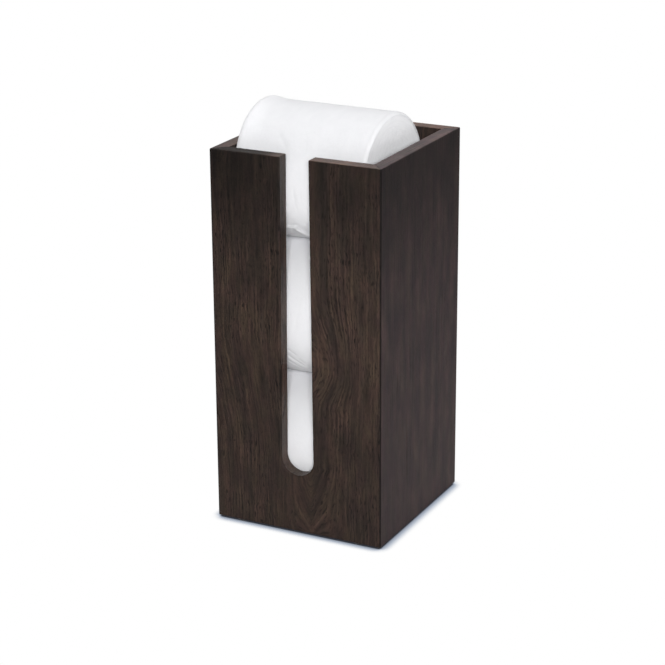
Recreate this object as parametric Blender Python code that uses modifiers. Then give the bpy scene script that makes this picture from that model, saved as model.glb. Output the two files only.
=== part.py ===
"""Toilet roll holder: a tall open box of dark stained oak with three rolls standing one on another in it.

The box is four mitred boards with a base board let into a groove, loose tongues
in the mitres and four thin pads underneath. The front board has a round-ended
slot, open at the rim, that shows how many rolls are left. Each roll is a
cardboard core, the wound paper and its outermost sheet with a loose tail.

Metres. X runs left to right, the slot faces -Y, +Z is up. The origin is on the
floor, under the middle of the box.
"""

import math

import bmesh
import bpy
import numpy as np

# Rolls
ROLL_LENGTH = 0.1072
ROLL_DIAMETER = 0.106
CORE_DIAMETER = 0.041
CORE_WALL = 0.001
CORE_SETBACK = 0.0006
SHEET_THICKNESS = 0.0005
SHEET_PITCH = 0.00095
SHEET_OVERLAP = math.radians(42)
EDGE_SOFT_LENGTH = 0.0042
EDGE_DRAWN_IN = 0.0012
TAIL_CORNER_DROP = 0.0082
TAIL_CORNER_START = -0.0056
TAIL_CORNER_RUN = 0.0064
LIFTED_EDGE_HEIGHT = 0.0036
LIFTED_EDGE_REACH = 0.0080
LIFTED_EDGE_MIDDLE = math.radians(105)
LIFTED_EDGE_SPREAD = math.radians(42)

# Box
SIDE_ROOM = 0.0108
DEPTH_ROOM = 0.012
FRONT_CLEARANCE = 0.0006
WALL = 0.011
PANEL_HEIGHT = 0.294
EDGE_EASE = 0.0009

# Slot in the front board
SLOT_WIDTH_TOP = 0.0235
SLOT_WIDTH_BOTTOM = 0.0270
SLOT_BOTTOM = 0.046

# Base board and its groove
BASE_THICKNESS = 0.004
BASE_RISE = 0.003
GROOVE_DEPTH = 0.005

# Loose tongues in the mitres
TONGUE_WIDTH = 0.008
TONGUE_THICKNESS = 0.003
TONGUE_STOP_BELOW_RIM = 0.022
TONGUE_STOP_ABOVE_FLOOR = 0.022
TONGUE_PLACE_SHARE = 0.56

# Pads under the boards
PAD_DIAMETER = 0.009
PAD_HEIGHT = 0.001
PAD_EDGE = 0.0002
PAD_INSET = 0.020

# Clearances and overrun
SEAT_GAP = 0.0003
CUT_OVERRUN = 0.004
MERGE_DISTANCE = 0.00001

# Steps that round forms are made with
SLOT_ARC_STEPS = 20
TURNED_STEPS = 60
SHEET_STEPS_AROUND = 60
SHEET_STEPS_ALONG = 10
SOFT_EDGE_STEPS = 3
GAP_SAMPLES_AROUND = 120
GAP_SAMPLES_ALONG = 12

# Each roll: how it is turned about the vertical, where its sheet ends, counted
# from the back over the top, its place sideways as a share of the free room to
# either side of the middle, the share of its width that the weight on it
# leaves, and whether its loose end shows at the front
ROLLS = {
    "bottom_roll": {
        "turn": math.radians(1.0),
        "tail": math.radians(318),
        "side_share": -0.12,
        "settled_share": 0.958,
        "shows_tail": False,
    },
    "middle_roll": {
        "turn": math.radians(1.8),
        "tail": math.radians(336),
        "side_share": -0.3,
        "settled_share": 1.0,
        "shows_tail": False,
    },
    "top_roll": {
        "turn": math.radians(-0.8),
        "tail": math.radians(219),
        "side_share": -0.91,
        "settled_share": 1.0,
        "shows_tail": True,
    },
}

# Sizes that follow from the ones above
INNER_WIDTH = ROLL_LENGTH + SIDE_ROOM
INNER_DEPTH = ROLL_DIAMETER + DEPTH_ROOM
BOX_WIDTH = INNER_WIDTH + 2 * WALL
BOX_DEPTH = INNER_DEPTH + 2 * WALL
PANEL_BOTTOM = PAD_HEIGHT + SEAT_GAP
PANEL_TOP = PANEL_BOTTOM + PANEL_HEIGHT
BASE_BOTTOM = PANEL_BOTTOM + BASE_RISE
BASE_TOP = BASE_BOTTOM + BASE_THICKNESS
SHEET_TURN = 2 * math.pi + SHEET_OVERLAP
CORE_RADIUS = CORE_DIAMETER / 2
QUARTER_TURN = math.pi / 2

# Finishes: colour, roughness, metallic
FINISHES = {
    "stained_oak": ((0.040, 0.028, 0.024), 0.46, 0.0),
    "stained_ply": ((0.034, 0.025, 0.021), 0.60, 0.0),
    "bare_beech": ((0.520, 0.330, 0.170), 0.65, 0.0),
    "tissue_paper": ((0.870, 0.870, 0.890), 0.90, 0.0),
    "grey_card": ((0.430, 0.360, 0.280), 0.85, 0.0),
    "dark_felt": ((0.030, 0.030, 0.032), 0.95, 0.0),
}


def clear_scene():
    """Removes every object, so that the model starts from nothing."""
    for old in list(bpy.data.objects):
        bpy.data.objects.remove(old, do_unlink=True)


def new_collection(name):
    collection = bpy.data.collections.new(name)
    bpy.context.scene.collection.children.link(collection)
    return collection


def move_to(piece, collection):
    """Puts an object that an operator made into one collection only."""
    for owner in list(piece.users_collection):
        owner.objects.unlink(piece)
    collection.objects.link(piece)


def finish_material(name):
    """The named finish as a Principled material, made once."""
    found = bpy.data.materials.get(name)
    if found:
        return found
    colour, roughness, metallic = FINISHES[name]
    material = bpy.data.materials.new(name)
    material.use_nodes = True
    shader = material.node_tree.nodes["Principled BSDF"]
    shader.inputs["Base Color"].default_value = (*colour, 1.0)
    shader.inputs["Roughness"].default_value = roughness
    shader.inputs["Metallic"].default_value = metallic
    return material


def dress(piece, finish):
    piece.data.materials.clear()
    piece.data.materials.append(finish_material(finish))


def box(name, size, centre, collection, turn=0.0):
    """A block of the given size about its centre, turned about the vertical."""
    bpy.ops.mesh.primitive_cube_add(size=1.0)
    block = bpy.context.object
    block.name = name
    block.scale = size
    bpy.ops.object.transform_apply(location=False, rotation=False, scale=True)
    block.location = centre
    block.rotation_euler = (0.0, 0.0, turn)
    move_to(block, collection)
    return block


def flat_solid(name, outline, thickness, collection, location, rotation):
    """A flat outline, filled and thickened evenly to both sides, as a welded mesh."""
    curve = bpy.data.curves.new(name + "_outline", "CURVE")
    curve.dimensions = "2D"
    curve.fill_mode = "BOTH"
    curve.extrude = thickness / 2
    spline = curve.splines.new("POLY")
    spline.points.add(len(outline) - 1)
    for point, (along, up) in zip(spline.points, outline):
        point.co = (along, up, 0.0, 1.0)
    spline.use_cyclic_u = True
    drawn = bpy.data.objects.new(name + "_outline", curve)
    drawn.location = location
    drawn.rotation_euler = rotation
    collection.objects.link(drawn)
    bpy.context.view_layer.update()
    seen = drawn.evaluated_get(bpy.context.evaluated_depsgraph_get())
    mesh = bpy.data.meshes.new_from_object(seen)
    mesh.name = name
    welded = bmesh.new()
    welded.from_mesh(mesh)
    bmesh.ops.remove_doubles(welded, verts=welded.verts, dist=MERGE_DISTANCE)
    bmesh.ops.dissolve_limit(
        welded, angle_limit=math.radians(1), verts=welded.verts, edges=welded.edges
    )
    bmesh.ops.recalc_face_normals(welded, faces=welded.faces)
    welded.to_mesh(mesh)
    welded.free()
    solid = bpy.data.objects.new(name, mesh)
    solid.matrix_world = drawn.matrix_world.copy()
    collection.objects.link(solid)
    bpy.data.objects.remove(drawn, do_unlink=True)
    bpy.data.curves.remove(curve)
    return solid


def ease_edges(piece, width, segments=2):
    bevel = piece.modifiers.new("eased_edges", "BEVEL")
    bevel.width = width
    bevel.segments = segments
    bevel.limit_method = "ANGLE"
    bevel.angle_limit = math.radians(40)


def cut(piece, cutter, operation="DIFFERENCE"):
    """One joinery cut with another solid, which stays as a hidden guide."""
    boolean = piece.modifiers.new(operation.lower() + "_" + cutter.name, "BOOLEAN")
    boolean.operation = operation
    boolean.object = cutter
    boolean.solver = "EXACT"


def hide_cutters(cutters):
    for cutter in cutters.objects:
        cutter.hide_render = True
        cutter.display_type = "WIRE"


def shade_round(piece):
    """Smooth shading over the round faces, with the sharp edges kept."""
    piece.data.shade_smooth()
    piece.data.set_sharp_from_angle(angle=math.radians(35))


def turned(name, profile, collection):
    """A closed profile of (radius, height) points turned about local Z."""
    count = len(profile)
    mesh = bpy.data.meshes.new(name)
    corners = [(radius, 0.0, height) for radius, height in profile]
    mesh.from_pydata(corners, [(i, (i + 1) % count) for i in range(count)], [])
    piece = bpy.data.objects.new(name, mesh)
    collection.objects.link(piece)
    screw = piece.modifiers.new("turned", "SCREW")
    screw.axis = "Z"
    screw.angle = 2 * math.pi
    screw.steps = TURNED_STEPS
    screw.render_steps = TURNED_STEPS
    screw.use_merge_vertices = True
    screw.merge_threshold = MERGE_DISTANCE
    screw.use_smooth_shade = True
    return piece


def board_outline(width):
    """A plain board seen from outside: width by height, its foot on zero."""
    half = width / 2
    return [(-half, 0.0), (half, 0.0), (half, PANEL_HEIGHT), (-half, PANEL_HEIGHT)]


def slotted_outline(width):
    """The front board: a slot that opens at the rim and ends in a half circle."""
    half = width / 2
    end_radius = SLOT_WIDTH_BOTTOM / 2
    end_height = SLOT_BOTTOM + end_radius
    points = [(-half, 0.0), (half, 0.0), (half, PANEL_HEIGHT)]
    points.append((SLOT_WIDTH_TOP / 2, PANEL_HEIGHT))
    for step in range(SLOT_ARC_STEPS + 1):
        angle = -math.pi * step / SLOT_ARC_STEPS
        points.append((end_radius * math.cos(angle), end_height + end_radius * math.sin(angle)))
    points.append((-SLOT_WIDTH_TOP / 2, PANEL_HEIGHT))
    points.append((-half, PANEL_HEIGHT))
    return points


def mitre_guide(name, width, reach, turn, cutters):
    """A prism with 45 degree ends that a board is trimmed to, set back for the glue line."""
    setback = SEAT_GAP / 2 * math.sqrt(2)
    outer_half = width / 2 + CUT_OVERRUN - setback
    inner_half = width / 2 - WALL - CUT_OVERRUN - setback
    outer = -reach - CUT_OVERRUN
    inner = -reach + WALL + CUT_OVERRUN
    outline = [(-outer_half, outer), (outer_half, outer), (inner_half, inner), (-inner_half, inner)]
    middle = PANEL_BOTTOM + PANEL_HEIGHT / 2
    height = PANEL_HEIGHT + 2 * CUT_OVERRUN
    return flat_solid(name, outline, height, cutters, (0.0, 0.0, middle), (0.0, 0.0, turn))


def make_board(name, outline, width, reach, turn, parts, cutters):
    """One board of the box: its outer face lies at the reach from the middle."""
    across = reach - WALL / 2
    location = (math.sin(turn) * across, -math.cos(turn) * across, PANEL_BOTTOM)
    board = flat_solid(name, outline, WALL, parts, location, (QUARTER_TURN, 0.0, turn))
    ease_edges(board, EDGE_EASE)
    cut(board, mitre_guide(name + "_mitres", width, reach, turn, cutters), "INTERSECT")
    shade_round(board)
    dress(board, "stained_oak")
    return board


def make_boards(parts, cutters):
    """The four boards, keyed by the side of the box that each one closes."""
    half_width = BOX_WIDTH / 2
    half_depth = BOX_DEPTH / 2
    sides = {
        "front": (slotted_outline(BOX_WIDTH), BOX_WIDTH, half_depth, 0.0),
        "right": (board_outline(BOX_DEPTH), BOX_DEPTH, half_width, QUARTER_TURN),
        "back": (board_outline(BOX_WIDTH), BOX_WIDTH, half_depth, 2 * QUARTER_TURN),
        "left": (board_outline(BOX_DEPTH), BOX_DEPTH, half_width, 3 * QUARTER_TURN),
    }
    boards = {}
    for side, (outline, width, reach, turn) in sides.items():
        boards[side] = make_board(side + "_panel", outline, width, reach, turn, parts, cutters)
    return boards


def make_base(boards, parts, cutters):
    """The base board, and the groove that it leaves in all four boards."""
    middle = BASE_BOTTOM + BASE_THICKNESS / 2
    groove = box(
        "base_groove",
        (INNER_WIDTH + 2 * GROOVE_DEPTH, INNER_DEPTH + 2 * GROOVE_DEPTH, BASE_THICKNESS + 2 * SEAT_GAP),
        (0.0, 0.0, middle),
        cutters,
    )
    for board in boards.values():
        cut(board, groove)
    tongue = GROOVE_DEPTH - SEAT_GAP
    base = box(
        "base_panel",
        (INNER_WIDTH + 2 * tongue, INNER_DEPTH + 2 * tongue, BASE_THICKNESS),
        (0.0, 0.0, middle),
        parts,
    )
    ease_edges(base, SEAT_GAP, segments=1)
    dress(base, "stained_ply")


def make_tongues(boards, parts, cutters):
    """A loose tongue in each mitre, square to it, stopped short of both ends."""
    low = PANEL_BOTTOM + TONGUE_STOP_ABOVE_FLOOR
    high = PANEL_TOP - TONGUE_STOP_BELOW_RIM
    inset = WALL * TONGUE_PLACE_SHARE
    for rear, depth_side in (("front", -1), ("back", 1)):
        for flank, width_side in (("left", -1), ("right", 1)):
            centre = (
                width_side * (BOX_WIDTH / 2 - inset),
                depth_side * (BOX_DEPTH / 2 - inset),
                (low + high) / 2,
            )
            turn = -width_side * depth_side * QUARTER_TURN / 2
            name = rear + "_" + flank + "_tongue"
            tongue = box(name, (TONGUE_WIDTH, TONGUE_THICKNESS, high - low), centre, parts, turn)
            ease_edges(tongue, SEAT_GAP, segments=1)
            dress(tongue, "bare_beech")
            mortise = box(
                name + "_slot",
                (TONGUE_WIDTH + 2 * SEAT_GAP, TONGUE_THICKNESS + 2 * SEAT_GAP, high - low + 2 * SEAT_GAP),
                centre,
                cutters,
                turn,
            )
            cut(boards[rear], mortise)
            cut(boards[flank], mortise)


def make_pads(parts):
    """Round pads under the front and back boards, near their ends."""
    for rear, depth_side in (("front", -1), ("back", 1)):
        for flank, width_side in (("left", -1), ("right", 1)):
            bpy.ops.mesh.primitive_cylinder_add(vertices=32, radius=PAD_DIAMETER / 2, depth=PAD_HEIGHT)
            pad = bpy.context.object
            pad.name = rear + "_" + flank + "_pad"
            pad.location = (
                width_side * (BOX_WIDTH / 2 - PAD_INSET),
                depth_side * (BOX_DEPTH / 2 - WALL / 2),
                PAD_HEIGHT / 2,
            )
            move_to(pad, parts)
            ease_edges(pad, PAD_EDGE, segments=1)
            dress(pad, "dark_felt")
            shade_round(pad)


def drawn_in(along):
    """How far a roll's surface pulls in near its ends, by the place along its axis."""
    start = ROLL_LENGTH / 2 - EDGE_SOFT_LENGTH
    reach = np.clip((np.abs(along) - start) / EDGE_SOFT_LENGTH, 0.0, 1.0)
    return EDGE_DRAWN_IN * reach**2.5


def roll_radius(roll):
    """A roll's radius over its loose end."""
    return ROLL_DIAMETER / 2 * roll["settled_share"]


def sheet_start_radius(roll):
    """The outer sheet's outside radius where it starts, under its own loose end."""
    return roll_radius(roll) - SHEET_PITCH * SHEET_TURN / (2 * math.pi)


def sheet_radius(roll, angle):
    """The outer sheet's outside radius at an angle, one turn or less behind its tail."""
    behind = (roll["tail"] - angle) % (2 * math.pi)
    return roll_radius(roll) - SHEET_PITCH * behind / (2 * math.pi)


def tail_drop(along, shows_tail):
    """How much further the loose end runs on: lower to the right of a torn slant."""
    reach = np.clip((along - TAIL_CORNER_START) / TAIL_CORNER_RUN, 0.0, 1.0)
    return np.where(shows_tail, TAIL_CORNER_DROP * reach, 0.0)


def lifted_edge(angle, along, shows_tail):
    """How far the left edge of the sheet flares off the roll, over its top and upper front."""
    from_end = (along + ROLL_LENGTH / 2) / LIFTED_EDGE_REACH
    from_middle = (np.mod(angle, 2 * math.pi) - LIFTED_EDGE_MIDDLE) / LIFTED_EDGE_SPREAD
    rise = LIFTED_EDGE_HEIGHT * np.exp(-(from_end**2)) * np.exp(-(from_middle**4))
    return np.where(shows_tail, rise, 0.0)


def sheet_form(roll, wound_share, along):
    """Angle and outside radius of the outer sheet, from its start (0) to its loose end (1)."""
    outer = roll_radius(roll)
    start = sheet_start_radius(roll)
    run_on = tail_drop(along, roll["shows_tail"]) / outer
    around = roll["tail"] - SHEET_TURN * (1 - wound_share) + run_on * wound_share**4
    radius = start + (outer - start) * wound_share - drawn_in(along)
    radius = radius + lifted_edge(around, along, roll["shows_tail"]) * wound_share
    return around, radius


def on_roll(around, radius, along):
    """Points about a roll's axis, from their angle, radius and place along it."""
    return np.stack([along, radius * np.cos(around), radius * np.sin(around)], axis=-1)


def least_gap_to_itself(roll):
    """The least distance between the sheet's overlapping end and the turn under it."""
    lap_share = SHEET_OVERLAP / SHEET_TURN
    along = np.linspace(-ROLL_LENGTH / 2, ROLL_LENGTH / 2, GAP_SAMPLES_ALONG)
    end_share, end_along = np.meshgrid(np.linspace(1 - lap_share, 1.0, GAP_SAMPLES_AROUND), along)
    start_share, start_along = np.meshgrid(np.linspace(0.0, lap_share, GAP_SAMPLES_AROUND), along)
    end_around, end_radius = sheet_form(roll, end_share, end_along)
    start_around, start_radius = sheet_form(roll, start_share, start_along)
    inside = on_roll(end_around, end_radius - SHEET_THICKNESS, end_along).reshape(-1, 3)
    outside = on_roll(start_around, start_radius, start_along).reshape(-1, 3)
    steps = inside[:, None, :] - outside[None, :, :]
    return float(np.sqrt((steps**2).sum(axis=-1)).min())


def make_outer_sheet(name, roll, parts, holder):
    """The last turn of paper: a strip bent round the roll, its end lying over its start."""
    bpy.ops.mesh.primitive_grid_add(
        x_subdivisions=SHEET_STEPS_AROUND, y_subdivisions=SHEET_STEPS_ALONG, size=2.0
    )
    sheet = bpy.context.object
    sheet.name = name
    move_to(sheet, parts)
    count = len(sheet.data.vertices)
    flat = np.empty(count * 3)
    sheet.data.vertices.foreach_get("co", flat)
    flat = flat.reshape(count, 3)
    wound_share = (flat[:, 0] + 1) / 2
    along = ROLL_LENGTH / 2 * np.sin(QUARTER_TURN * flat[:, 1])
    around, radius = sheet_form(roll, wound_share, along)
    sheet.data.vertices.foreach_set("co", on_roll(around, radius, along).astype(np.float32).ravel())
    sheet.data.update()
    middle = sheet.data.polygons[len(sheet.data.polygons) // 2]
    if middle.normal.dot(middle.center) < 0:
        sheet.data.flip_normals()
    print(name, "least gap to itself, mm:", round(1000 * least_gap_to_itself(roll), 2))
    solid = sheet.modifiers.new("sheet", "SOLIDIFY")
    solid.thickness = SHEET_THICKNESS
    solid.offset = -1.0
    sheet.parent = holder
    dress(sheet, "tissue_paper")
    shade_round(sheet)


def paper_profile(roll):
    """The wound paper's section: flat ends, soft outer corners, bored for the core."""
    paper_radius = sheet_start_radius(roll) - SHEET_THICKNESS - SEAT_GAP
    half = ROLL_LENGTH / 2
    bore = CORE_RADIUS + SEAT_GAP
    steps = np.linspace(1.0, 0.0, SOFT_EDGE_STEPS + 1)
    heights = half - EDGE_SOFT_LENGTH * (1 - steps)
    radii = paper_radius - drawn_in(heights)
    upper = list(zip(radii.tolist(), heights.tolist()))
    lower = [(radius, -height) for radius, height in reversed(upper)]
    return [(bore, half)] + upper + lower + [(bore, -half)]


def core_profile():
    """The cardboard tube's section, a little shorter than the paper round it."""
    half = ROLL_LENGTH / 2 - CORE_SETBACK
    inner = CORE_RADIUS - CORE_WALL
    return [(inner, half), (CORE_RADIUS, half), (CORE_RADIUS, -half), (inner, -half)]


def lay_along_x(piece, holder):
    piece.parent = holder
    piece.rotation_euler = (0.0, QUARTER_TURN, 0.0)


def make_roll(name, roll, height, parts):
    """One roll about its own middle, which hangs on an empty that lifts straight up."""
    turn = abs(roll["turn"])
    radius = roll_radius(roll)
    half_across = ROLL_LENGTH / 2 * math.cos(turn) + radius * math.sin(turn)
    half_swing = ROLL_LENGTH / 2 * math.sin(turn)
    sideways = roll["side_share"] * (INNER_WIDTH / 2 - half_across)
    front = -INNER_DEPTH / 2 + FRONT_CLEARANCE
    holder = bpy.data.objects.new(name, None)
    holder.location = (sideways, front + radius + half_swing, height)
    holder.rotation_euler = (0.0, 0.0, roll["turn"])
    parts.objects.link(holder)
    paper = turned(name + "_paper", paper_profile(roll), parts)
    lay_along_x(paper, holder)
    dress(paper, "tissue_paper")
    core = turned(name + "_core", core_profile(), parts)
    lay_along_x(core, holder)
    dress(core, "grey_card")
    make_outer_sheet(name + "_outer_sheet", roll, parts, holder)


def make_rolls(parts):
    """The rolls from the base up, each resting on the one below."""
    rest = BASE_TOP
    for name, roll in ROLLS.items():
        height = rest + SEAT_GAP + sheet_radius(roll, 3 * QUARTER_TURN)
        make_roll(name, roll, height, parts)
        rest = height + sheet_radius(roll, QUARTER_TURN)


def main():
    clear_scene()
    parts = new_collection("toilet_roll_holder")
    cutters = new_collection("joinery_cutters")
    boards = make_boards(parts, cutters)
    make_base(boards, parts, cutters)
    make_tongues(boards, parts, cutters)
    make_pads(parts)
    make_rolls(parts)
    hide_cutters(cutters)
    bpy.context.view_layer.update()


main()
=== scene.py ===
"""Dressed view of the toilet roll holder: stained oak boards and three wound rolls of tissue.

Lengths are metres in meshes and millimetres inside the finishes. Every roll's surface is worked
out in its own frame, along its axis, round it and out from it, and then laid in the box.
"""
import math

import bpy
import numpy as np
from mathutils import Matrix


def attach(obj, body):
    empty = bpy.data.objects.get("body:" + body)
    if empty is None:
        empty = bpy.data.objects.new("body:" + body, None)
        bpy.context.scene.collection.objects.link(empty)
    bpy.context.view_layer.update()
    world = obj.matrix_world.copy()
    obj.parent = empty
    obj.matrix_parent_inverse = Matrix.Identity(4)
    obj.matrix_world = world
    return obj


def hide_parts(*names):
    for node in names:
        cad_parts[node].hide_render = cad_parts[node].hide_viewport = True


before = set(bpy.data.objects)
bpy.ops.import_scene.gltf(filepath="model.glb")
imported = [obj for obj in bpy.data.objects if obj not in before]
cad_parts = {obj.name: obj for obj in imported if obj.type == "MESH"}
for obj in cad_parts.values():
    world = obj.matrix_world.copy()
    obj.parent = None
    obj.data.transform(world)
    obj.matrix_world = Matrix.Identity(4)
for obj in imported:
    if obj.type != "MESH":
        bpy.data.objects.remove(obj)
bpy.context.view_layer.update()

FULL_TURN = 2 * math.pi

# The camera: where it stands, and the directions of its picture's right and top.
CAMERA_PLACE = (0.67731666, -1.34074821, 0.6668081)
CAMERA_RIGHT = (0.89214894, 0.4517047, -0.00575705)
CAMERA_UP = (-0.14447431, 0.29737549, 0.94376638)
CAMERA_BACK = (0.42801571, -0.84114843, 0.33056295)
CAMERA_LENS = 111.4897
CAMERA_FILM = 36.0

# Each lamp's place, the point it is aimed at, its side in metres and its power in watts.
LAMPS = {
    "front_lamp": ((1.50, -2.94, 1.34), (0, 0, 0.18), 0.8, 93.5),
    "right_lamp": ((3.10, 0.20, 2.15), (0, 0, 0.25), 1.6, 44.5),
    "left_lamp": ((-3.4, 0.90, 1.75), (0, 0, 0.25), 1.6, 30.0),
    "back_lamp": ((-0.8, 2.0, 3.2), (0, 0, 0.2), 1.8, 58.5),
}
FLOOR_REACH = 4.0

# The boards, in mm: how far their outer faces are from the box's middle, and how thick they are.
BOARD_FACE = 70.0
BOARD_THICKNESS = 11.0
# Each board's random start, the contrast of its marks, how much painted shade darkens it
# upwards, and the cast of its stain.
BOARDS = {
    "front": (1, 1.0, 0.40, (1.03, 1.06, 1.03)),
    "right": (2, 0.22, 0.56, (1.0, 1.06, 1.36)),
    "back": (4, 0.9, 0.2, (1.05, 0.98, 1.0)),
    "left": (6, 0.8, 0.3, (1.0, 1.0, 1.1)),
}

# What all the rolls share, in metres: a card core, and round the wound paper an outer sheet
# that runs a little over one turn and moves out by its pitch in each.
ROLL_LENGTH = 0.1072
CORE_RADIUS = 0.0205
CORE_WALL = 0.001
CORE_SETBACK = 0.0006
BORE_GAP = 0.0003
SHEET_THICKNESS = 0.00045
SHEET_PITCH = 0.00095
SHEET_TURN = FULL_TURN + math.radians(42)
SHEET_GROWTH = SHEET_PITCH * SHEET_TURN / FULL_TURN
UNDER_SHEET = 0.00035
# Each roll's axis centre, turn about the upright in degrees, radius over the loose end, and the
# angle of that end. Rolls in a pile press each other flat where they touch: the upper and lower
# halves have a height share of the radius and a fullness, the power of their rounded square (2
# is a circle).
ROLLS = {
    "bottom": {"centre": (-0.00054, -0.00669, 0.05925), "turn": 1.0, "radius": 0.050774,
               "tail": 318.0, "torn": False, "seed": 3, "upper": (1.0365, 2.15), "lower": (1.0, 2.3)},
    "middle": {"centre": (-0.00113, -0.003715, 0.16255), "turn": 1.8, "radius": 0.053,
               "tail": 336.0, "torn": False, "seed": 5, "upper": (1.0793, 2.15), "lower": (0.9654, 2.3)},
    "top": {"centre": (-0.004245, -0.00465, 0.26738), "turn": -0.8, "radius": 0.053,
            "tail": 216.3, "torn": True, "seed": 8, "upper": (1.0, 2.0), "lower": (0.9205, 2.3)},
}
# Each end of a roll rounds off: how far in from the end and from the outside, left and right.
ROUNDED_END = {-1: (0.0042, 0.0012), 1: (0.0034, 0.0034)}
END_RECESS = 0.0002
END_SWEEP = math.radians(80)
# The torn sheet: right of a place along the roll its loose end hangs lower, its last share
# curls up, and its left edge flares off round an angle.
TEAR_FROM, TEAR_RUN, TEAR_DROP = -0.0056, 0.0064, 0.0082
CURL_FROM, CURL_LIFT = 0.982, 0.0009
FLARE_RUN, FLARE_LIFT = 0.0080, 0.0036
FLARE_ANGLE, FLARE_SPREAD = math.radians(105), math.radians(42)
# Where the sheets' points are closest: the part of a roll's length that the slot shows, the
# angles of the creases in it, in degrees, and the loose end.
SEEN_IN_SLOT = (-0.026, 0.006)
CREASED_ARC = (203, 240)
LOOSE_FROM = 0.98
# Creases pressed into the outer sheets: two ends (along, mm, and angle, degrees), half width
# and depth in mm; a negative depth stands proud.
CREASES = {
    "bottom": [((-13.8, 191.1), (-0.6, 195.5), 0.9, 0.16), ((-29.5, 107.5), (-17.0, 106.0), 1.0, 0.25)],
    "middle": [((-17.2, 208.4), (-5.2, 221.4), 0.75, 0.55), ((-19.0, 215.4), (-8.4, 226.0), 0.75, 0.55),
               ((-17.9, 212.0), (-7.0, 223.6), 0.7, -0.35), ((-10.0, 211.0), (-3.4, 217.2), 0.75, 0.40),
               ((-16.4, 202.4), (-8.6, 208.6), 0.9, 0.35), ((-4.0, 158.0), (-9.0, 186.0), 1.3, 0.10)],
    "top": [((-23.0, 132.0), (-10.0, 149.0), 2.4, 0.20), ((-14.0, 126.0), (4.0, 127.0), 1.2, 0.12),
            ((-11.4, 212.6), (-1.8, 210.2), 0.8, 0.30), ((-13.0, 217.5), (-3.0, 215.6), 0.7, 0.30),
            ((-21.0, 238.0), (-0.8, 230.0), 0.9, -0.45),
            ((-3.0, 176.0), (1.5, 203.0), 1.4, 0.18), ((5.0, 170.0), (3.0, 196.0), 1.3, 0.12),
            ((-9.4, 174.0), (-7.0, 195.0), 1.2, 0.10), ((18.0, 118.0), (30.0, 141.0), 2.0, 0.12)],
}


class Amount:
    """A number that nodes work out; arithmetic between amounts adds Math nodes."""

    def __init__(self, nodes, outlet):
        self.nodes = nodes
        self.outlet = outlet

    def __add__(self, other):
        return self.nodes.work("ADD", self, other)

    __radd__ = __add__

    def __sub__(self, other):
        return self.nodes.work("SUBTRACT", self, other)

    def __rsub__(self, other):
        return self.nodes.work("SUBTRACT", other, self)

    def __mul__(self, other):
        return self.nodes.work("MULTIPLY", self, other)

    __rmul__ = __mul__

    def __truediv__(self, other):
        return self.nodes.work("DIVIDE", self, other)

    def smooth(self, low, high):
        """0 below low, 1 above high, and a soft step between."""
        return self.nodes.soft_step(self, low, high)


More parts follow.
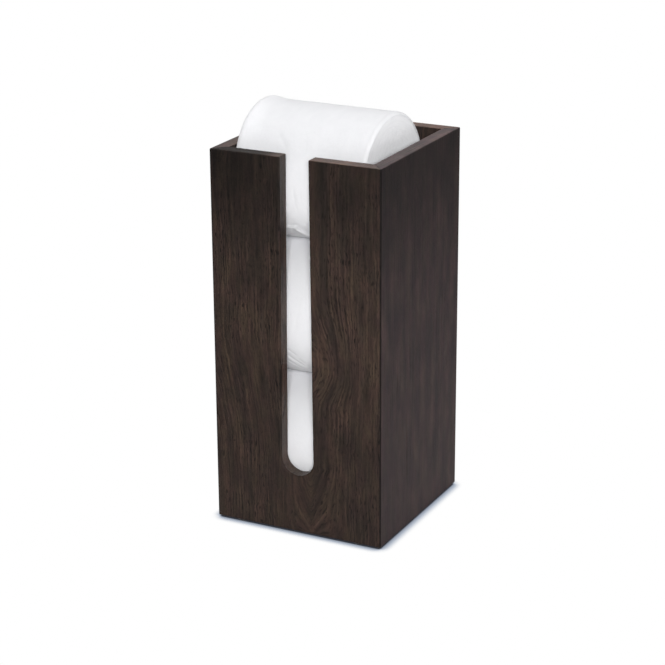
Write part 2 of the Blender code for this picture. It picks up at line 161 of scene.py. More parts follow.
class Nodes:
    """Nodes under construction: each call adds some to the tree and gives their outlet."""

    def __init__(self, tree):
        self.tree = tree

    def add(self, kind, **settings):
        node = self.tree.nodes.new("ShaderNode" + kind)
        for setting, value in settings.items():
            setattr(node, setting, value)
        return node

    def feed(self, inlet, value):
        """Links an amount or outlet to an inlet, or writes a plain value in it."""
        if isinstance(value, Amount):
            self.tree.links.new(value.outlet, inlet)
        elif isinstance(value, bpy.types.NodeSocket):
            self.tree.links.new(value, inlet)
        else:
            inlet.default_value = value

    def work(self, operation, *values, clamped=False):
        """Arithmetic by a Math node."""
        node = self.add("Math", operation=operation, use_clamp=clamped)
        for inlet, value in zip(node.inputs, values):
            self.feed(inlet, value)
        return Amount(self, node.outputs[0])

    def soft_step(self, value, low, high):
        """0 below low, 1 above high, and 3t^2 - 2t^3 of the share t between."""
        node = self.add("MapRange", interpolation_type="SMOOTHSTEP")
        self.feed(node.inputs[0], value)
        node.inputs[1].default_value = low
        node.inputs[2].default_value = high
        return Amount(self, node.outputs[0])

    def parts(self, outlet):
        """The three parts of a vector."""
        split = self.add("SeparateXYZ")
        self.tree.links.new(outlet, split.inputs[0])
        return [Amount(self, part) for part in split.outputs]

    def place(self):
        """Across, deep and up in millimetres, from the piece's own coordinates."""
        return [part * 1000.0 for part in self.parts(self.add("TexCoord").outputs["Object"])]

    def attribute(self, name):
        """The three numbers that a piece's own point attribute carries."""
        return self.parts(self.add("Attribute", attribute_name=name).outputs["Vector"])

    def facing_up(self):
        """1 where the surface faces up, 0 where it is upright, -1 where it faces down."""
        return self.parts(self.add("NewGeometry").outputs["True Normal"])[2]

    def rays(self):
        """1 for rays straight from the camera, and 1 for rays off gloss or through glass."""
        path = self.add("LightPath")
        straight, glossy, through = (
            Amount(self, path.outputs["Is " + kind + " Ray"]) for kind in ("Camera", "Glossy", "Transmission")
        )
        return straight, self.work("MAXIMUM", glossy, through)

    def vector(self, *values):
        node = self.add("CombineXYZ")
        for inlet, value in zip(node.inputs, values):
            self.feed(inlet, value)
        return node.outputs[0]

    def noise(self, *values, detail=2.0, rough=0.5, swirl=0.0):
        """Soft noise from 0 to 1 about 0.5, one lump to a unit of each value."""
        node = self.add("TexNoise")
        self.tree.links.new(self.vector(*values), node.inputs["Vector"])
        node.inputs["Scale"].default_value = 1.0
        node.inputs["Detail"].default_value = detail
        node.inputs["Roughness"].default_value = rough
        node.inputs["Distortion"].default_value = swirl
        return Amount(self, node.outputs["Fac"])

    def shades(self, amount, *stops):
        """A ramp of colours over an amount."""
        node = self.add("ValToRGB")
        self.feed(node.inputs[0], amount)
        elements = node.color_ramp.elements
        for index, (at, colour) in enumerate(stops):
            element = elements[index] if index < 2 else elements.new(at)
            element.position = at
            element.color = (*colour, 1.0)
        return node.outputs[0]

    def mixed(self, share, low, high, how="MIX"):
        """Two colours mixed by a share."""
        node = self.add("Mix", data_type="RGBA", blend_type=how)
        self.feed(node.inputs[0], share)
        for inlet, colour in ((node.inputs[6], low), (node.inputs[7], high)):
            self.feed(inlet, (*colour, 1.0) if isinstance(colour, tuple) else colour)
        return node.outputs[2]

    def scaled(self, colour, amount):
        """A colour made lighter or darker by an amount."""
        node = self.add("VectorMath", operation="SCALE")
        self.feed(node.inputs[0], colour)
        self.feed(node.inputs["Scale"], amount)
        return node.outputs[0]

    def relief(self, height, distance, under=None):
        """A bumped normal, from a height share and its full height in metres."""
        node = self.add("Bump")
        node.inputs["Strength"].default_value = 1.0
        node.inputs["Distance"].default_value = distance
        self.feed(node.inputs["Height"], height)
        if under is not None:
            self.tree.links.new(under, node.inputs["Normal"])
        return node.outputs[0]

    def show(self, share, lit, seen, output):
        """Sends one shader to the output where the share is 0, and the other where it is 1."""
        both = self.add("MixShader")
        self.feed(both.inputs[0], share)
        self.tree.links.new(lit.outputs[0], both.inputs[1])
        self.tree.links.new(seen.outputs[0], both.inputs[2])
        self.tree.links.new(both.outputs[0], self.tree.nodes[output].inputs["Surface"])


class Finish(Nodes):
    """A material under construction, with one shader."""

    def __init__(self, name):
        self.material = bpy.data.materials.new(name)
        self.material.use_nodes = True
        super().__init__(self.material.node_tree)
        self.shader = self.tree.nodes["Principled BSDF"]

    def set(self, **values):
        """Writes or links the shader's inlets; an underscore stands for a space."""
        for name, value in values.items():
            self.feed(self.shader.inputs[name.replace("_", " ")], value)


def across_and_deep(side, x, y):
    """The place across a board and the depth under its outer face, in mm."""
    across, through = (x, y) if side in ("front", "back") else (y, x)
    return across, through + BOARD_FACE if side in ("front", "left") else BOARD_FACE - through


def figure_lines(finish, lines, across, up):
    """The figured board's growth lines, and the share of the place beside the slot.

    That share is a bell about 25 mm right of the middle, and there the lines bow to the right
    by up to 13.5 mm. Left of 12 mm they crowd together towards the floor. With d the distance
    to that place, the lines are then those of sqrt(d^2 + 1.4), plus 0.36 of the drop below a
    height of 56 mm, under a bell of d: so they meet in points under the slot.
    """
    from_slot = (across - 25.0) / 20.0
    beside = finish.work("EXPONENT", from_slot * from_slot * -1.0)
    bow = up.smooth(105.0, 136.0) * (1.0 - up.smooth(139.0, 196.0)) * 13.5
    lean = (1.0 - up.smooth(60.0, 165.0)) * 0.26
    centred = lines - 12.0
    left_of = finish.work("MINIMUM", centred, 0.0)
    leaning = centred + left_of * lean - beside * bow
    under = finish.work("MAXIMUM", 56.0 - up, 0.0) * 0.36
    below = finish.work("EXPONENT", leaning * leaning * -0.0035)
    return finish.work("SQRT", leaning * leaning + 1.4) + under * below, beside


def stain_colour(finish, lines, across, deep, up, shift, cast):
    """The stain: four browns over soft clouds and bands, olive in some places, russet in others."""
    cloud = finish.noise(across * 0.075 + shift, deep * 0.05, up * 0.032, detail=3.0, rough=0.6)
    band = finish.noise(lines * 0.11 + shift, deep * 0.1, up * 0.010, detail=1.0)
    hue = finish.noise(across * 0.11, deep * 0.1 + shift, up * 0.045 + shift, detail=2.0, rough=0.55)
    stain = finish.shades(
        cloud * 0.6 + band * 0.4,
        (0.36, (0.0225, 0.0150, 0.0125)),
        (0.46, (0.0295, 0.0190, 0.0150)),
        (0.54, (0.0365, 0.0228, 0.0172)),
        (0.66, (0.0500, 0.0312, 0.0220)),
    )
    olive, russet = (
        finish.mixed(1.0, stain, tuple(part * tint for part, tint in zip(lean, cast)), "MULTIPLY")
        for lean in ((0.98, 0.99, 0.96), (1.05, 0.955, 1.02))
    )
    return finish.mixed(hue.smooth(0.40, 0.60), olive, russet)


def oak_finish(name, side):
    """Dark stained oak: growth lines, dark open pores, streaks and blotches of stain.

    The lines are where G(across, up) + 0.45 deep, drifting softly, passes a multiple of 3.1 mm.
    G is the place across the board, wandering with soft noise, on the figured front board bent
    as figure_lines says, and on the rim the depth instead. A noise is given its lumps to a mm,
    fewest up the board, so that its marks are long that way. A line fades where its weight is
    low or it is broken, and it is bold in patches.
    """
    seed, contrast, fade, cast = BOARDS[side]
    figured = side == "front"
    finish = Finish(name)
    x, y, up = finish.place()
    across, deep = across_and_deep(side, x, y)
    to_left = across * -1.0
    shift = 37.0 * seed
    rim = finish.facing_up().smooth(0.80, 0.95) * up.smooth(285.0, 292.0)
    wander = finish.noise(across * 0.024 + shift, deep * 0.02, up * 0.0080, detail=1.0) * 8.0 - 4.0
    waver = finish.noise(across * 0.10 + shift, deep * 0.08, up * 0.045, detail=2.0, rough=0.45) * 3.0 - 1.5
    quiver = finish.noise(across * 0.30, deep * 0.2, up * 0.13 + shift, detail=1.0) * 1.7 - 0.85
    lines = across + wander + waver + quiver
    bold = finish.noise(across * 0.045, deep * 0.05 + shift, up * 0.020, detail=2.0).smooth(0.38, 0.62)
    if figured:
        lines, beside = figure_lines(finish, lines, across, up)
        bowed = beside * up.smooth(70.0, 110.0) * (1.0 - up.smooth(150.0, 200.0))
        bold = finish.work("MAXIMUM", bold, bowed * 0.7)
    lines = lines * (1.0 - rim) + (deep * 1.3 + across * 0.10 + waver) * rim

    drift = finish.noise(lines * 0.085 + shift, up * 0.002, 0.0, detail=1.0) * 15.0
    growth = (lines + deep * 0.45 + drift) / 3.1
    ring = finish.work("FRACT", growth)
    row = finish.work("FLOOR", growth)
    weight = finish.noise(row * 0.63, shift + deep * 0.01, up * 0.014, detail=1.0).smooth(0.38, 0.64)
    broken = finish.noise(growth * 1.3, deep * 0.2, up * 0.085 + shift, detail=3.0, rough=0.6)
    line = (1.0 - ring.smooth(0.08, 0.42)) * ring.smooth(-0.02, 0.10) * broken.smooth(0.34, 0.54)
    line = line * (weight * 0.75 + 0.25) * (bold * 0.8 + 0.2) * (up.smooth(20.0, 75.0) * 0.5 + 0.5)
    ridge = ring.smooth(0.40, 0.62) * (1.0 - ring.smooth(0.62, 0.90))
    streak = finish.noise(lines * 0.52, deep * 0.5, up * 0.029 + shift, detail=3.0, rough=0.55)
    fleck = finish.noise(lines * 2.0, deep * 2.0, up * 0.25 + shift, detail=2.0, rough=0.55)
    pore = 1.0 - fleck.smooth(0.34, 0.44)
    dash = finish.noise(lines * 0.95 + shift, deep * 1.0, up * 0.155, detail=1.0, rough=0.4)
    dashed = (1.0 - dash.smooth(0.33, 0.42)) * (bold * 0.75 + 0.25)

    marked = rim * (0.9 - contrast) + contrast
    colour = stain_colour(finish, lines, across, deep, up, shift, cast)
    colour = finish.mixed(line * marked * 0.80, colour, (0.0080, 0.0046, 0.0034))
    colour = finish.mixed(pore * marked * 0.50, colour, (0.0085, 0.0050, 0.0038))
    colour = finish.mixed(dashed * marked * 0.80, colour, (0.0050, 0.0031, 0.0025))

    # Painted shade: the top left of each board is darker, as less light falls there.
    top_left = to_left.smooth(0.0, 55.0) * up.smooth(215.0, 292.0)
    right_band = across.smooth(0.0, 25.0) * up.smooth(70.0, 120.0) * (1.0 - up.smooth(235.0, 290.0))
    worn, corner = (
        finish.work("MAXIMUM", across.smooth(low, high), to_left.smooth(low, high))
        for low, high in ((66.2, 68.2), (68.6, 69.4))
    )
    # The cut faces through the board below its rim, the slot's walls among them: painted lighter, a painted
    # reflection of the white paper beside them, and made glossier.
    behind_edge = deep.smooth(0.6, 1.6) * (1.0 - deep.smooth(BOARD_THICKNESS - 1.0, BOARD_THICKNESS))
    cut_edge = behind_edge * (1.0 - rim)
    # Painted shade on the left part of the front board's rim, taking away some of the rim's painted sheen.
    shaded = rim * to_left.smooth(5.0, 30.0) * (1.0 if figured else 0.0)
    tone = (streak - 0.5) * marked * 1.9 + ridge * bold * marked * 0.40 + 1.0
    for place, change in (
        # Painted shade: each board darker towards its top, as the light falls.
        (up.smooth(165.0, 300.0), -fade),
        (top_left, -0.48 * contrast),
        (right_band, 0.20 * contrast),
        (worn, 0.18),
        (corner * (1.0 - rim), -0.72),
        # Painted sheen: the rim about five times lighter, partly its own lighter end grain and edges, partly
        # the bright room it mirrors at a glancing angle.
        (rim, 4.05),
        (shaded, -0.80),
        (cut_edge, 0.8),
    ):
        tone = tone * (place * change + 1.0)
    finish.set(
        Base_Color=finish.scaled(colour, tone),
        Roughness=(streak - 0.5) * 0.25 + line * 0.12 + (0.62 - cut_edge * 0.20 - rim * 0.05 + shaded * 0.20),
        Specular_IOR_Level=0.22,
        Normal=finish.relief(1.0 - line * 0.55 - pore * 0.45 + streak * 0.20, 0.00010),
    )
    return finish.material


def plain_wood_finish(name, light, dark, lay, pitch):
    """Plain unstained wood or thin board: fine streaks along one direction, with soft clouds."""
    finish = Finish(name)
    x, y, up = finish.place()
    first, second, along = {"x": (up, y, x), "z": (x, y, up)}[lay]
    streak = finish.noise(first / pitch, second / pitch, along * 0.03, detail=3.0, rough=0.6)
    cloud = finish.noise(first * 0.04, second * 0.04, along * 0.015, detail=2.0)
    share = finish.work("ADD", (streak - 0.5) * 1.3 + (cloud - 0.5) * 0.7, 0.5, clamped=True)
    finish.set(
        Base_Color=finish.shades(share, (0.25, dark), (0.75, light)),
        Roughness=streak * 0.2 + 0.6,
        Specular_IOR_Level=0.3,
        Normal=finish.relief(streak, 0.00008),
    )
    return finish.material


def felt_finish(name):
    """Dark felt: matted short fibres in every direction."""
    finish = Finish(name)
    x, y, up = finish.place()
    fibre = finish.noise(x * 3.1, y * 3.1, up * 3.1, detail=4.0, rough=0.7, swirl=1.5)
    cloud = finish.noise(x * 0.5, y * 0.5, up * 0.5, detail=2.0)
    share = fibre * 0.7 + cloud * 0.3
    finish.set(
        Base_Color=finish.shades(share, (0.35, (0.012, 0.011, 0.011)), (0.68, (0.045, 0.041, 0.040))),
        Roughness=0.95,
        Sheen_Weight=0.3,
        Normal=finish.relief(fibre, 0.0003),
    )
    return finish.material


def card_finish(name):
    """Grey card wound in a slant: its seam climbs round the tube once in 62 mm."""
    finish = Finish(name)
    along, around, _ = finish.attribute("wound_place")
    x, y, up = finish.place()
    climb = finish.work("FRACT", along / 62.0 + around / FULL_TURN)
    from_seam = finish.work("ABSOLUTE", climb - 0.5)
    seam = 1.0 - from_seam.smooth(0.002, 0.010)
    fibre = finish.noise(x * 1.7, y * 1.7, up * 1.7, detail=4.0, rough=0.7, swirl=0.8)
    cloud = finish.noise(x * 0.12, y * 0.12, up * 0.12, detail=2.0)
    grey = finish.shades(
        fibre * 0.6 + cloud * 0.4, (0.34, (0.30, 0.265, 0.225)), (0.66, (0.43, 0.39, 0.335))
    )
    finish.set(
        Base_Color=finish.mixed(seam * 0.7, grey, (0.17, 0.145, 0.12)),
        Roughness=fibre * 0.2 + 0.75,
        Specular_IOR_Level=0.3,
        Normal=finish.relief(fibre * 0.6 - seam * 0.4 + 0.4, 0.00025),
    )
    return finish.material


def tissue_finish(name):
    """White tissue: a fine crinkle across the sheet's run and a faint mottle of its fibres.

    Its pattern follows the sheet, from each point's place along and round the roll in mm. The
    tone drops by a tenth at the rounded right end, partly for its duller cut paper and partly as
    painted shade on the light that rounding catches, and by up to 0.16 in the creases, as
    painted shade.
    """
    finish = Finish(name)
    along, around, crease = finish.attribute("wound_place")
    crinkle = finish.noise(along * 0.55, around * 2.3, 0.0, detail=3.0, rough=0.62, swirl=0.35)
    press = finish.noise(along * 0.13, around * 0.09, 3.0, detail=3.0, rough=0.5)
    fibre = finish.noise(along * 2.9, around * 2.9, 7.0, detail=2.0, rough=0.7)
    # Painted shade: darker at the rounded right end, toning down the light it catches, and darker in the
    # creases.
    dimmer = along.smooth(49.5, 51.5) * 0.10 + crease.smooth(0.06, 0.50) * 0.16
    tone = (crinkle - 0.5) * 0.05 + (press - 0.5) * 0.03 + (fibre - 0.5) * 0.02 - dimmer + 1.0
    white = finish.shades(press, (0.3, (0.884, 0.886, 0.906)), (0.7, (0.898, 0.899, 0.918)))
    finish.set(
        Base_Color=finish.scaled(white, tone),
        Roughness=0.92,
        Specular_IOR_Level=0.1,
        Normal=finish.relief(crinkle * 0.8 + fibre * 0.2, 0.00010, finish.relief(press, 0.00035)),
    )
    return finish.material


def wound_paper_finish(name):
    """The wound paper's ends: hundreds of fine turns, crushed here and there across the cut.

    Its point attribute gives how far out a point is, the arc round it and its place along, in mm.
    """
    finish = Finish(name)
    outward, around, along = finish.attribute("wound_place")
    slipped = outward + finish.noise(outward * 0.12, around * 0.05, along * 0.1, detail=2.0) * 1.6
    turns = finish.noise(slipped * 2.4, around * 0.035, along * 0.4, detail=3.0, rough=0.7)
    crush = finish.noise(slipped * 0.75, around * 0.10, along * 0.3, detail=3.0, rough=0.6, swirl=0.6)
    tone = (turns - 0.5) * 0.10 + (crush - 0.5) * 0.10 + 0.985
    white = finish.shades(crush, (0.3, (0.868, 0.870, 0.888)), (0.7, (0.896, 0.897, 0.912)))
    finish.set(
        Base_Color=finish.scaled(white, tone),
        Roughness=0.95,
        Specular_IOR_Level=0.1,
        Normal=finish.relief(turns * 0.5 + crush * 0.5, 0.00035),
    )
    return finish.material


def floor_finish(name):
    """A pale floor, seen as plain white but for a painted shadow close round the box: its glow
    darkens, bluish, where an occlusion test finds the box within 10 mm.

    Gloss sees a painted pool of light on it: the glow is dimmer the further it is from the box,
    and in front of the box.
    """
    finish = Finish(name)
    finish.set(Base_Color=(0.80, 0.80, 0.80, 1.0), Roughness=0.9, Specular_IOR_Level=0.1)
    # Painted shadow from an occlusion test: the glow darkens, bluish, within 10 mm of the box.
    near = finish.add("AmbientOcclusion", samples=16)
    near.inputs["Distance"].default_value = 0.010
    shade = finish.shades(
        near.outputs["AO"], (0.30, (0.030, 0.032, 0.040)), (0.62, (0.42, 0.47, 0.56)), (0.90, (1.0, 1.0, 1.0))
    )
    x, y, _ = finish.place()
    # Painted pool of light, seen only in gloss: dimmer away from the box and in front of it.
    away = finish.work("SQRT", x * x + y * y)
    dim = (0.62 - away.smooth(350.0, 880.0) * 0.47) * (y.smooth(-330.0, 60.0) * 0.75 + 0.25)
    straight, mirrored = finish.rays()
    glow = finish.add("Emission")
    glow.inputs["Strength"].default_value = 1.0
    finish.feed(glow.inputs["Color"], finish.scaled(shade, finish.work("MAXIMUM", straight, dim)))
    finish.show(finish.work("MAXIMUM", straight, mirrored), finish.shader, glow, "Material Output")
    return finish.material


def grid_faces(rows, columns, rows_close):
    """Quads of a grid of points, rows by columns, whose columns join round on themselves."""
    row = np.arange(rows if rows_close else rows - 1)[:, None]
    column = np.arange(columns)[None, :]
    next_row = (row + 1) % rows
    next_column = (column + 1) % columns
    corners = (
        row * columns + column,
        row * columns + next_column,
        next_row * columns + next_column,
        next_row * columns + column,
    )
    return np.stack([c.ravel() for c in corners], axis=-1)


def end_faces(rows, columns):
    """Quads that close both ends of a flattened tube: each point meets the one opposite."""
    half = columns // 2
    near = np.arange(half - 1)
    strip = np.stack([near, columns - 1 - near, columns - 2 - near, near + 1], axis=-1)
    return np.concatenate([strip, strip[:, ::-1] + (rows - 1) * columns])


def volume_of(points, faces):
    """Six times the space that the faces enclose; below nothing when they face inwards."""
    a, b, c, d = (points[faces[:, k]] for k in range(4))
    first = np.einsum("ij,ij->i", a, np.cross(b, c))
    second = np.einsum("ij,ij->i", a, np.cross(c, d))
    return float((first + second).sum())


def make_piece(name, points, faces, material, wound_place):
    """A piece from points and quads, facing outwards, smooth, at the origin.

    Its points carry their place on the roll for the finish.
    """
    if volume_of(points, faces) < 0:
        faces = faces[:, ::-1]
    mesh = bpy.data.meshes.new(name)
    mesh.from_pydata(points.tolist(), [], faces.tolist())
    mesh.shade_smooth()
    carried = mesh.attributes.new("wound_place", "FLOAT_VECTOR", "POINT")
    carried.data.foreach_set("vector", wound_place.astype(np.float32).ravel())
    mesh.materials.append(material)
    piece = bpy.data.objects.new(name, mesh)
    bpy.context.scene.collection.objects.link(piece)
    return piece


def in_the_box(roll, along, around, outward):
    """Points of a roll in the box: turned about the upright and moved to its centre."""
    turn = math.radians(roll["turn"])
    deep = outward * np.cos(around)
    points = np.stack(
        [
            roll["centre"][0] + along * math.cos(turn) - deep * math.sin(turn),
            roll["centre"][1] + along * math.sin(turn) + deep * math.cos(turn),
            roll["centre"][2] + outward * np.sin(around),
        ],
        axis=-1,
    )
    return points.reshape(-1, 3)


def soft_bell(value):
    """A soft bell: one at nothing and fading both ways."""
    return np.exp(-(value**2))


def waves(seed, count, longest, shortest):
    """Directions, lengths and starts of plain waves, for a smooth random surface."""
    draw = np.random.default_rng(seed)
    turn = draw.uniform(0, math.pi, count)
    pull = FULL_TURN / np.exp(draw.uniform(np.log(shortest), np.log(longest), count))
    start = draw.uniform(0, FULL_TURN, count)
    return np.cos(turn) * pull, np.sin(turn) * pull, start


def rolling(first, second, seed, longest, shortest, count=14):
    """A sum of plain waves over two coordinates in mm, scaled to about one either way."""
    pulls, lifts, starts = waves(seed, count, longest, shortest)
    total = np.zeros(np.broadcast(first, second).shape)
    for pull, lift, start in zip(pulls, lifts, starts):
        total = total + np.sin(first * pull + second * lift + start)
    return total / math.sqrt(count)


def pressed_share(roll, around):
    """A roll's section as a share of a circle: rounded squares for its upper and lower half.

    The share at an angle is (|cos|^n + |sin / h|^n)^(-1/n), with the half's height h and
    fullness n.
    """
    share = {}
    for half in ("upper", "lower"):
        height, full = roll[half]
        side, rise = np.abs(np.cos(around)), np.abs(np.sin(around)) / height
        share[half] = (side**full + rise**full) ** (-1 / full)
    return np.where(np.sin(around) >= 0, share["upper"], share["lower"])


def across_the_sheet(flat_steps, end_steps):
    """Along, inset and end share of points over a roll's width: flat between two rounded ends.

    The flat part's columns are closest together where the slot shows them. Each end is a part
    of an ellipse: along runs on by its length times sin, and the inset is its depth times
    1 - cos, as the angle sweeps from 0 to 80 degrees.
    """
    sweep = np.linspace(0, 1, end_steps + 1) * END_SWEEP
    along, inset, end_share = [], [], []
    for end in (-1, 1):
        length, depth = ROUNDED_END[end]
        along.append(end * (ROLL_LENGTH / 2 - length + length * np.sin(sweep)))
        inset.append(depth * (1 - np.cos(sweep)))
        end_share.append(sweep / END_SWEEP)
    knots = [along[0][0], *SEEN_IN_SLOT, along[1][0]]
    flat = np.interp(np.linspace(0, 1, flat_steps + 2), [0, 0.17, 0.83, 1], knots)[1:-1]
    still = 0 * flat
    return (
        np.concatenate([along[0][::-1], flat, along[1]]),
        np.concatenate([inset[0][::-1], still, inset[1]]),
        np.concatenate([end_share[0][::-1], still, end_share[1]]),
    )


def creased(name, along, around, radius):
    """Depth of the creases at each point, in mm: a bell of the distance to each crease.

    A crease keeps its depth over its middle and 0.15 of it at its two ends.
    """
    depth = np.zeros(along.shape)
    along_mm = along * 1000
    round_mm = np.mod(around, FULL_TURN) * radius * 1000
    degree_mm = radius * 1000 * math.pi / 180
    for (x0, from_angle), (x1, to_angle), width, deep in CREASES[name]:
        y0, y1 = from_angle * degree_mm, to_angle * degree_mm
        run_x, run_y = x1 - x0, y1 - y0
        share = ((along_mm - x0) * run_x + (round_mm - y0) * run_y) / (run_x**2 + run_y**2)
        held = np.clip(share, 0, 1)
        off = np.hypot(along_mm - x0 - held * run_x, round_mm - y0 - held * run_y)
        fade = np.clip(1.15 - (2 * held - 1) ** 2, 0, 1)
        depth = depth + deep * fade * soft_bell(off / width)
    return depth


def sheet_outside(name, share, along, inset):
    """Angle, outside radius and crease depth of an outer sheet, from its start (0) to its end (1).

    The angle runs back from the loose end's by the sheet's turn; the radius grows by one pitch
    a turn, less the rounded ends and the creases, with soft waves of a tenth of a millimetre.
    The torn sheet's loose end hangs lower at its right part and curls up, and its left edge
    flares off.
    """
    roll = ROLLS[name]
    outer = roll["radius"]
    start = outer - SHEET_GROWTH
    around = math.radians(roll["tail"]) - SHEET_TURN * (1 - share) + 0 * along
    along = along + 0 * share
    lift = np.zeros(around.shape)
    if roll["torn"]:
        reach = np.clip((along - TEAR_FROM) / TEAR_RUN, 0, 1)
        around = around + TEAR_DROP * reach / outer * share**4
        from_end = (along + ROLL_LENGTH / 2) / FLARE_RUN
        from_middle = (np.mod(around, FULL_TURN) - FLARE_ANGLE) / FLARE_SPREAD
        lift = FLARE_LIFT * soft_bell(from_end) * soft_bell(from_middle**2) * share
        lift = lift + CURL_LIFT * np.clip((share - CURL_FROM) / (1 - CURL_FROM), 0, 1) ** 1.5
    radius = start + (outer - start) * share - inset + lift
    crease = creased(name, along, around, outer)
    radius = radius - crease / 1000
    swell = rolling(along * 1000, around * outer * 1000, roll["seed"], 46, 15)
    radius = radius + 0.00008 * (swell - 1) * np.clip((1 - share) * 12, 0.3, 1)
    return around, radius * pressed_share(roll, around), crease


def crowded_rows(name, rows):
    """Shares of a sheet's run: four times closer together at the angles of the creases that the
    slot shows, and seven times or more at the loose end."""
    share = np.linspace(0, 1, 4001)
    around = np.degrees(math.radians(ROLLS[name]["tail"]) - SHEET_TURN * (1 - share)) % 360
    in_arc = (around > CREASED_ARC[0]) & (around < CREASED_ARC[1])
    closeness = 1 + 3 * in_arc + 6 * (share > LOOSE_FROM)
    run = np.concatenate([[0], np.cumsum(closeness[1:])])
    return np.interp(np.linspace(0, run[-1], rows), run, share)


def make_outer_sheet(name, finish):
    """The last turn of paper, a thin closed strip: rows run round the roll, columns go along
    its outside and back along its inside.

    Its wall thins to 0.45 of itself at the loose end and to 0.3 at its rounded ends. Each point
    carries its place along and round the roll and its crease's depth, in mm.
    """
    rows = 340
    along, inset, end_share = across_the_sheet(96, 12)
    across = len(along)
    share = crowded_rows(name, rows)[:, None]
    around, radius, crease = sheet_outside(name, share, along[None, :], inset[None, :])
    wall = SHEET_THICKNESS * (0.45 + 0.55 * np.clip((1 - share) * 60, 0, 1)) * (1 - 0.7 * end_share)
    lean = END_SWEEP * end_share * np.sign(along)
    outside_along = along[None, :] + 0 * share
    inside_along = outside_along - wall * np.sin(lean)
    inside_radius = radius - wall * np.cos(lean)
    around_all, radius_all, along_all, crease_all = (
        np.concatenate([outside, inside[:, ::-1]], axis=1)
        for outside, inside in (
            (around, around), (radius, inside_radius), (outside_along, inside_along), (crease, crease)
        )
    )
    points = in_the_box(ROLLS[name], along_all, around_all, radius_all)
    faces = np.concatenate([grid_faces(rows, 2 * across, False), end_faces(rows, 2 * across)])
    run = (around_all * ROLLS[name]["radius"]) * 1000
    carried = np.stack([along_all * 1000, run, crease_all], axis=-1).reshape(-1, 3)
    piece = make_piece(name + "_sheet", points, faces, finish, carried)
    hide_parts(name + "_roll_outer_sheet")
    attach(piece, name + "_roll")


def paper_profile():
    """The wound paper's outline in a plane through its axis: four rows of numbers.

    It goes out over the right end, round its edge, along the outside, round the left edge and
    in over the left end, and back along the bore. The rows are the place along, the depth under
    the outside, the share of the way out from the bore, and how squarely it faces the right
    end, or below nothing the left.
    """
    turned = np.linspace(1, 0, 9) * math.pi / 2
    out = np.linspace(0, 1, 40)[:-1]
    edge = ROLL_LENGTH / 2 - END_RECESS
    ends = []
    for end in (1, -1):
        length, depth = (size - END_RECESS for size in ROUNDED_END[end])
        face = np.stack([end * edge + 0 * out, depth + 0 * out, out, end + 0 * out])
        bend = np.stack([end * (edge - length + length * np.sin(turned)), depth * (1 - np.cos(turned)),
                         1 + 0 * turned, end * np.sin(turned)])
        ends.append(np.concatenate([face, bend], axis=1)[:, ::end])
    right, left = ends
    outside = np.linspace(right[0, -1], left[0, 0], 26)[1:-1]
    bore = np.linspace(left[0, -1], right[0, 0], 12)[1:-1]
    outside, bore = (
        np.stack([along, 0 * along, share + 0 * along, 0 * along])
        for along, share in ((outside, 1), (bore, 0))
    )
    return np.concatenate([right, outside, left, bore], axis=1)


def make_wound_paper(name, finish):
    """The paper under the outer sheet: its profile carried round the axis.

    Its outside keeps 0.35 mm clear of the sheet's first turn, and steps back down before that
    turn begins again. The ends are crushed, by soft waves of a tenth of a millimetre, and
    hollow by half a millimetre at the bore.
    """
    roll = ROLLS[name]
    bore = CORE_RADIUS + BORE_GAP
    steps = 240
    around = (np.arange(steps) / steps * FULL_TURN)[:, None]
    sheet_start = math.radians(roll["tail"]) - SHEET_TURN
    from_start = np.mod(around - sheet_start, FULL_TURN)
    back_down = np.clip((from_start - FULL_TURN + 0.26) / 0.16, 0, 1)
    first_turn = roll["radius"] - SHEET_GROWTH + SHEET_GROWTH * from_start / SHEET_TURN * (1 - back_down)
    outer = (first_turn - SHEET_THICKNESS - UNDER_SHEET) * pressed_share(roll, around)
    along, inset, share, on_end = paper_profile()[:, None, :]
    outward = bore + (outer - inset - bore) * share
    circle_x, circle_y = outward * np.cos(around) * 1000, outward * np.sin(around) * 1000
    crushed = rolling(circle_x, circle_y, roll["seed"] + 20, 18, 6, count=18) * 0.00010
    hollow = 0.0005 * np.clip(1 - (outward - bore) / 0.016, 0, 1) ** 2
    near_rim = np.clip((outer - outward) / 0.004, 0, 1)
    along = along - on_end * (np.abs(crushed) * near_rim + hollow)
    points = in_the_box(roll, along, around, outward)
    faces = grid_faces(steps, along.shape[1], True)
    arc = around * roll["radius"] * 1000
    carried = np.stack([(outward - outer) * 1000, arc + 0 * along, along * 1000], axis=-1)
    piece = make_piece(name + "_wound_paper", points, faces, finish, carried.reshape(-1, 3))
    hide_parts(name + "_roll_paper")
    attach(piece, name + "_roll")


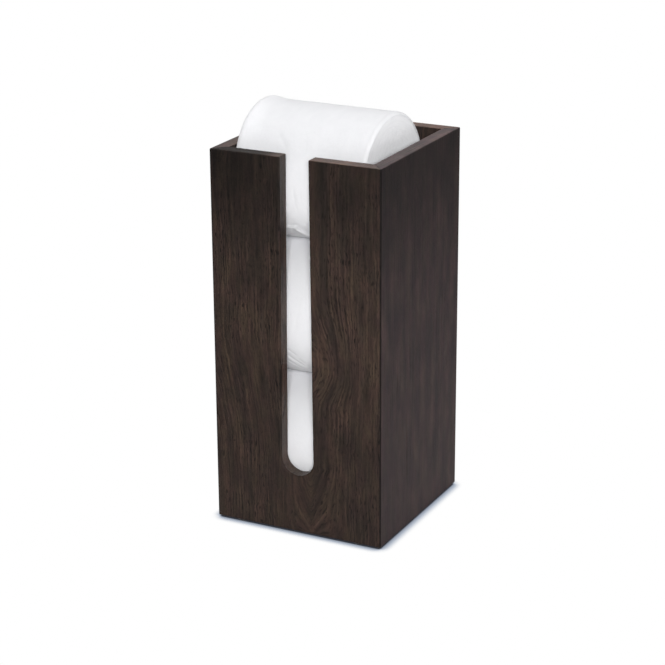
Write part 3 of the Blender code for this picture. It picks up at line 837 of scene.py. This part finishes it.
def make_core(name, finish):
    """The card tube: a thin ring's profile carried round the axis, faintly out of round.

    Each end of its wall bulges by 0.6 of a half circle as wide as the wall.
    """
    roll = ROLLS[name]
    half_wall = CORE_WALL / 2
    half_length = ROLL_LENGTH / 2 - CORE_SETBACK
    over_wall = np.linspace(-half_wall, half_wall, 5)
    bulge = (np.sqrt(np.clip(half_wall**2 - over_wall**2, 0, None)) - half_wall) * 0.6
    run = np.linspace(-1, 1, 22)[1:-1] * (half_length - half_wall)
    along = np.concatenate([half_length + bulge, run[::-1], -half_length - bulge, run])
    middle = CORE_RADIUS - half_wall
    radius = np.concatenate([middle + over_wall, CORE_RADIUS + 0 * run, middle - over_wall,
                             CORE_RADIUS - CORE_WALL + 0 * run])
    steps = 96
    around = (np.arange(steps) / steps * FULL_TURN)[:, None]
    ruffle = 1 + 0.004 * np.sin(2 * around + roll["seed"])
    outward = np.minimum(radius[None, :] * ruffle, CORE_RADIUS)
    along_all = along[None, :] + 0 * around
    points = in_the_box(roll, along_all, around, outward)
    faces = grid_faces(steps, len(radius), True)
    carried = np.stack([along_all * 1000, around + 0 * along_all, 0 * along_all], axis=-1)
    piece = make_piece(name + "_card_core", points, faces, finish, carried.reshape(-1, 3))
    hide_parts(name + "_roll_core")
    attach(piece, name + "_roll")


def dress(node, material):
    """Puts a finish in every material slot of a kept solid."""
    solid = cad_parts[node]
    for place in solid.material_slots:
        place.material = material


def finish_boards():
    """Each board keeps its solid and gets oak of its own, cut from another place."""
    for side in BOARDS:
        dress(side + "_panel", oak_finish("stained_oak_" + side, side))


def finish_hidden_pieces():
    """The base, the loose tongues and the pads keep their solids and get their finishes."""
    ply = plain_wood_finish("stained_ply", (0.060, 0.040, 0.030), (0.026, 0.017, 0.013), "x", 1.6)
    beech = plain_wood_finish("bare_beech", (0.56, 0.40, 0.26), (0.40, 0.27, 0.165), "z", 0.8)
    felt = felt_finish("dark_felt")
    dress("base_panel", ply)
    for corner in ("front_left", "front_right", "back_left", "back_right"):
        dress(corner + "_tongue", beech)
        dress(corner + "_pad", felt)


def make_camera():
    """A camera where the photograph was taken from, with no shift."""
    camera = bpy.data.cameras.new("camera")
    camera.lens = CAMERA_LENS
    camera.sensor_width = CAMERA_FILM
    holder = bpy.data.objects.new("camera", camera)
    columns = zip(CAMERA_RIGHT, CAMERA_UP, CAMERA_BACK, CAMERA_PLACE)
    holder.matrix_world = Matrix([list(row) for row in columns] + [[0, 0, 0, 1]])
    bpy.context.scene.collection.objects.link(holder)
    bpy.context.scene.camera = holder


def make_lamp(name, place, aim, side, power):
    """A soft square lamp at a place, aimed at a point."""
    lamp = bpy.data.lights.new(name, "AREA")
    lamp.shape = "SQUARE"
    lamp.size = side
    lamp.energy = power
    holder = bpy.data.objects.new(name, lamp)
    back = np.array(place, float) - np.array(aim, float)
    back = back / np.linalg.norm(back)
    right = np.cross((0.0, 0.0, 1.0), back)
    right = right / np.linalg.norm(right)
    up = np.cross(back, right)
    holder.matrix_world = Matrix([[right[k], up[k], back[k], place[k]] for k in range(3)] + [[0, 0, 0, 1]])
    bpy.context.scene.collection.objects.link(holder)


def make_studio():
    """Even soft light: a faint pale world and four lamps, the strongest in front.

    The world is seen as plain white. Gloss mirrors it dimmer, and dimmest in front of the box.
    """
    scene = bpy.context.scene
    scene.view_settings.view_transform = "Standard"
    world = bpy.data.worlds.new("pale_room")
    scene.world = world
    world.use_nodes = True
    room = Nodes(world.node_tree)
    lit = room.tree.nodes["Background"]
    lit.inputs["Color"].default_value = (0.97, 0.985, 1.0, 1.0)
    lit.inputs["Strength"].default_value = 0.10
    seen = room.add("Background")
    seen.inputs["Color"].default_value = (1.0, 1.0, 1.0, 1.0)
    straight, mirrored = room.rays()
    _, backward, _ = room.parts(room.add("TexCoord").outputs["Generated"])
    dim = backward.smooth(-0.75, 0.15) * 0.25 + 0.25
    room.feed(seen.inputs["Strength"], room.work("MAXIMUM", straight, dim))
    room.show(room.work("MAXIMUM", straight, mirrored), lit, seen, "World Output")
    for name, (place, aim, side, power) in LAMPS.items():
        make_lamp(name, place, aim, side, power)


def make_floor():
    """The floor: one wide square under the pads."""
    reach = FLOOR_REACH
    corners = [(-reach, -reach, 0), (reach, -reach, 0), (reach, reach, 0), (-reach, reach, 0)]
    mesh = bpy.data.meshes.new("floor")
    mesh.from_pydata(corners, [], [(0, 1, 2, 3)])
    mesh.materials.append(floor_finish("pale_floor"))
    floor = bpy.data.objects.new("floor", mesh)
    bpy.context.scene.collection.objects.link(floor)


make_camera()
make_studio()
make_floor()
finish_boards()
finish_hidden_pieces()
tissue = tissue_finish("tissue_sheet")
wound = wound_paper_finish("tissue_paper")
card = card_finish("grey_card")
for roll_name in ROLLS:
    make_outer_sheet(roll_name, tissue)
    make_wound_paper(roll_name, wound)
    make_core(roll_name, card)
